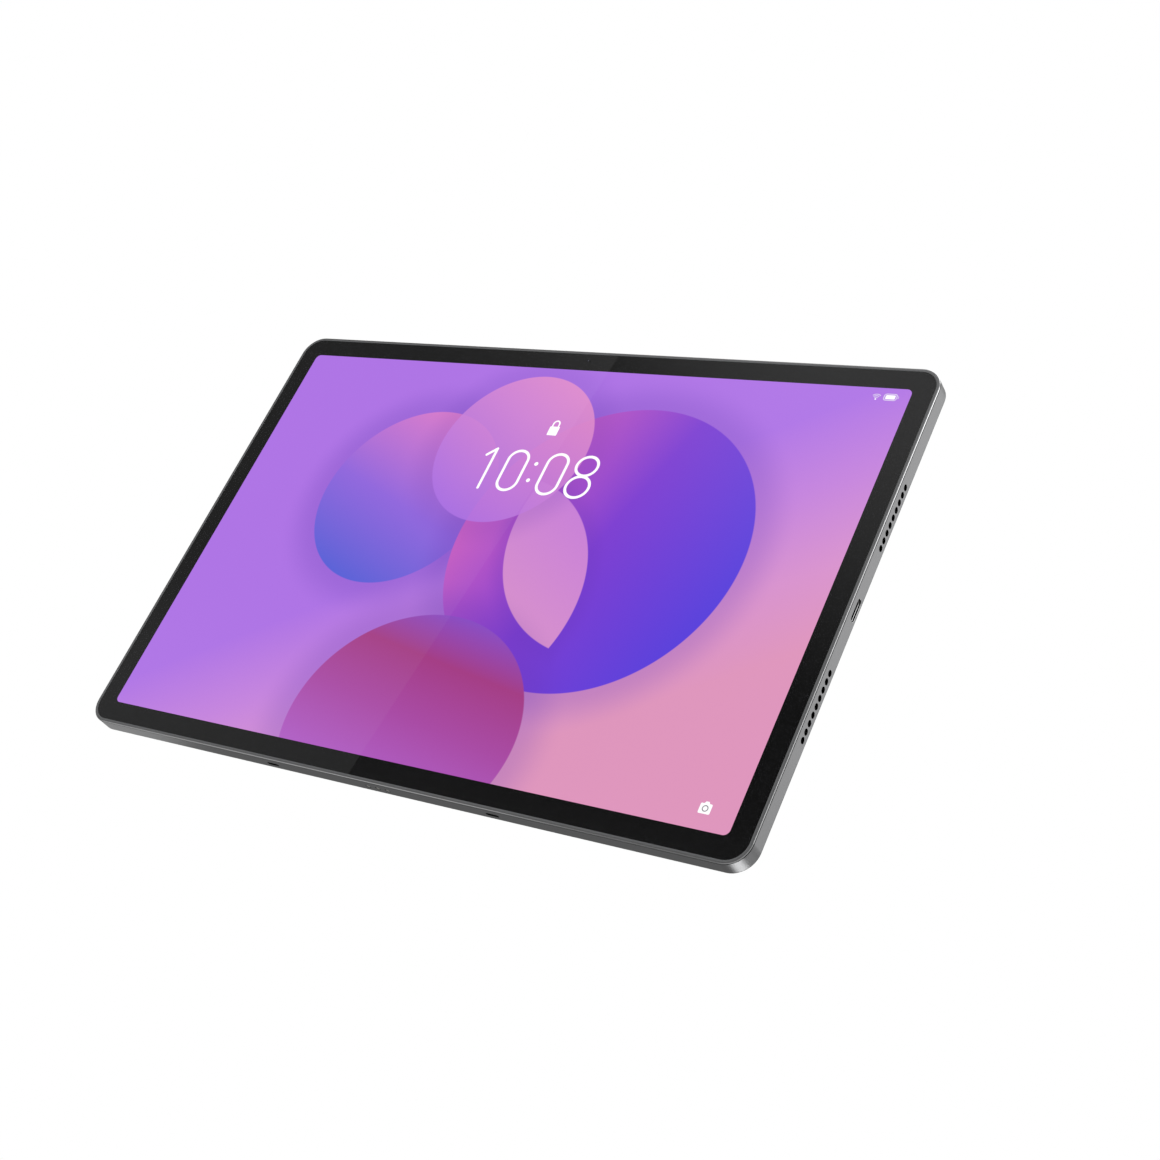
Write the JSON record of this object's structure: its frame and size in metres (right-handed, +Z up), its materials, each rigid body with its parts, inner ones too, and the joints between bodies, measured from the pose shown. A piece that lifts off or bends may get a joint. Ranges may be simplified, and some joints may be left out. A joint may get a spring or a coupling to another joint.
{
  "type": "tablet computer",
  "caption": "Slim flat tablet computer with a landscape touch screen, thin even bezel, metal back, camera island, side speakers, USB-C port, card tray, keys and docking edge.",
  "frame": {"origin": "middle of the flat bottom edge face (the docking edge), half way through the 6.9 mm body", "axes": "+X to the right as the screen is seen, +Y from the cover glass to the back, +Z up the screen. The tablet stands upright on its long bottom edge, with the screen facing -Y"},
  "size_m": [0.292, 0.0083, 0.1893],
  "materials": {
    "rear_housing": "fine bead-blasted anodised grey metal with polished bevels",
    "display_bezel_ring": "anodised grey metal with a polished bevel",
    "glass_gasket": "dark grey moulded plastic",
    "cover_glass": "clear polished glass",
    "display_adhesive": "black adhesive tape",
    "optical_adhesive": "clear soft resin",
    "lcd_panel": "lit display panel",
    "backlight_unit": "white light guide and films",
    "display_back_plate": "thin satin sheet metal",
    "display_driver_board": "green circuit board with black chips",
    "display_flex": "amber polyimide film",
    "camera_island": "satin anodised metal with a polished bevel",
    "camera_lens_ring": "turned and polished metal",
    "camera_window": "dark coated glass",
    "camera_can": "satin metal can",
    "camera_lens_barrel": "black lens barrel",
    "camera_sensor_board": "green circuit board",
    "flash_lens": "clear glass over a grey ground",
    "flash_ring": "bright polished metal",
    "flash_led": "yellow phosphor light on a white board",
    "inlay_strip": "bright satin metal",
    "power_button": "anodised grey metal with a polished edge",
    "volume_rocker": "anodised grey metal with a polished edge",
    "key_domes": "bright spring steel",
    "key_flex": "amber polyimide film",
    "key_brackets": "pressed steel",
    "card_tray": "anodised grey metal",
    "tray_gasket": "red silicone",
    "card_socket": "pressed steel cage",
    "card_board": "green circuit board",
    "eject_rod": "drawn steel wire",
    "eject_lever": "pressed steel",
    "usb_c_shell": "drawn steel shell",
    "usb_c_tongue": "black moulded plastic",
    "usb_board": "green circuit board",
    "dock_contacts": "gold-plated pins",
    "dock_contact_carrier": "black moulded plastic",
    "dock_flex": "amber polyimide film",
    "dock_magnets": "nickel-plated magnets",
    "speaker_upper_left": "black moulded box with a grey membrane",
    "speaker_lower_left": "black moulded box with a grey membrane",
    "speaker_upper_right": "black moulded box with a grey membrane",
    "speaker_lower_right": "black moulded box with a grey membrane",
    "speaker_dust_mesh": "fine black mesh",
    "microphones": "plated steel cans",
    "front_camera_module": "black moulded housing",
    "front_camera_lens": "dark coated glass",
    "light_sensor": "dark moulded sensor on a film lead",
    "main_board": "green circuit board with black chips",
    "board_shields": "tinned steel cans",
    "heat_spreader": "graphite film",
    "battery_cell_left": "dark wrapped pouch",
    "battery_cell_right": "dark wrapped pouch",
    "battery_board": "green circuit board",
    "battery_tape": "white stretch-release tape",
    "main_flex": "amber polyimide film",
    "wifi_antennas": "dark moulded carrier with a printed antenna",
    "antenna_cables": "black coaxial lead",
    "board_screws": "plated steel screws"
  },
  "bodies": {
    "tablet": {"rear_housing": "rear_housing", "display_bezel_ring": "display_bezel_ring", "glass_gasket": "glass_gasket", "cover_glass": "cover_glass", "display_adhesive": "display_adhesive", "optical_adhesive": "optical_adhesive", "lcd_panel": "lcd_panel", "backlight_unit": "backlight_unit", "display_back_plate": "display_back_plate", "display_driver_board": "display_driver_board", "display_flex": "display_flex", "camera_island": "camera_island", "camera_lens_ring": "camera_lens_ring", "camera_window": "camera_window", "camera_can": "camera_can", "camera_sensor_board": "camera_sensor_board", "flash_lens": "flash_lens", "flash_ring": "flash_ring", "flash_led": "flash_led", "inlay_strip": "inlay_strip", "key_domes": "key_domes", "key_flex": "key_flex", "key_brackets": "key_brackets", "card_socket": "card_socket", "card_board": "card_board", "usb_c_shell": "usb_c_shell", "usb_c_tongue": "usb_c_tongue", "usb_board": "usb_board", "dock_contacts": "dock_contacts", "dock_contact_carrier": "dock_contact_carrier", "dock_flex": "dock_flex", "dock_magnets": "dock_magnets", "speaker_upper_left": "speaker_upper_left", "speaker_lower_left": "speaker_lower_left", "speaker_upper_right": "speaker_upper_right", "speaker_lower_right": "speaker_lower_right", "speaker_dust_mesh": "speaker_dust_mesh", "microphones": "microphones", "front_camera_module": "front_camera_module", "front_camera_lens": "front_camera_lens", "light_sensor": "light_sensor", "main_board": "main_board", "board_shields": "board_shields", "heat_spreader": "heat_spreader", "battery_cell_left": "battery_cell_left", "battery_cell_right": "battery_cell_right", "battery_board": "battery_board", "battery_tape": "battery_tape", "main_flex": "main_flex", "wifi_antennas": "wifi_antennas", "antenna_cables": "antenna_cables", "board_screws": "board_screws"},
    "power_button": {"power_button": "power_button"},
    "volume_rocker": {"volume_rocker": "volume_rocker"},
    "card_tray": {"card_tray": "card_tray", "tray_gasket": "tray_gasket"},
    "eject_rod": {"eject_rod": "eject_rod"},
    "eject_lever": {"eject_lever": "eject_lever"},
    "focus_barrel": {"camera_lens_barrel": "camera_lens_barrel"}
  },
  "joints": [
    {"name": "power_button_press", "type": "slide", "parent": "tablet", "child": "power_button", "axis": [1, 0, 0], "range_m": [0, 0.0003], "stiffness_N_per_m": 1500, "springref_m": -0.0003},
    {"name": "volume_rocker_tilt", "type": "hinge", "parent": "tablet", "child": "volume_rocker", "pos_m": [-0.112, 0.0003, 0.18662], "axis": [0, 1, 0], "range_deg": [-0.9, 0.9], "stiffness_Nm_per_rad": 0.2},
    {"name": "card_tray_slide", "type": "slide", "parent": "tablet", "child": "card_tray", "axis": [-1, 0, 0], "range_m": [0, 0.02]},
    {"name": "eject_rod_push", "type": "slide", "parent": "tablet", "child": "eject_rod", "axis": [1, 0, 0], "range_m": [0, 0.0012]},
    {"name": "eject_lever_turn", "type": "hinge", "parent": "tablet", "child": "eject_lever", "pos_m": [-0.1202, 0.0003, 0.084], "axis": [0, -1, 0], "range_deg": [0, 15]},
    {"name": "camera_focus", "type": "slide", "parent": "tablet", "child": "focus_barrel", "axis": [0, 1, 0], "range_m": [0, 0.0002], "stiffness_N_per_m": 100, "springref_m": -0.0001}
  ],
  "couplings": [
    {"joint": "eject_lever_turn", "follows": "eject_rod_push", "rad_per_m": 212.77}
  ]
}
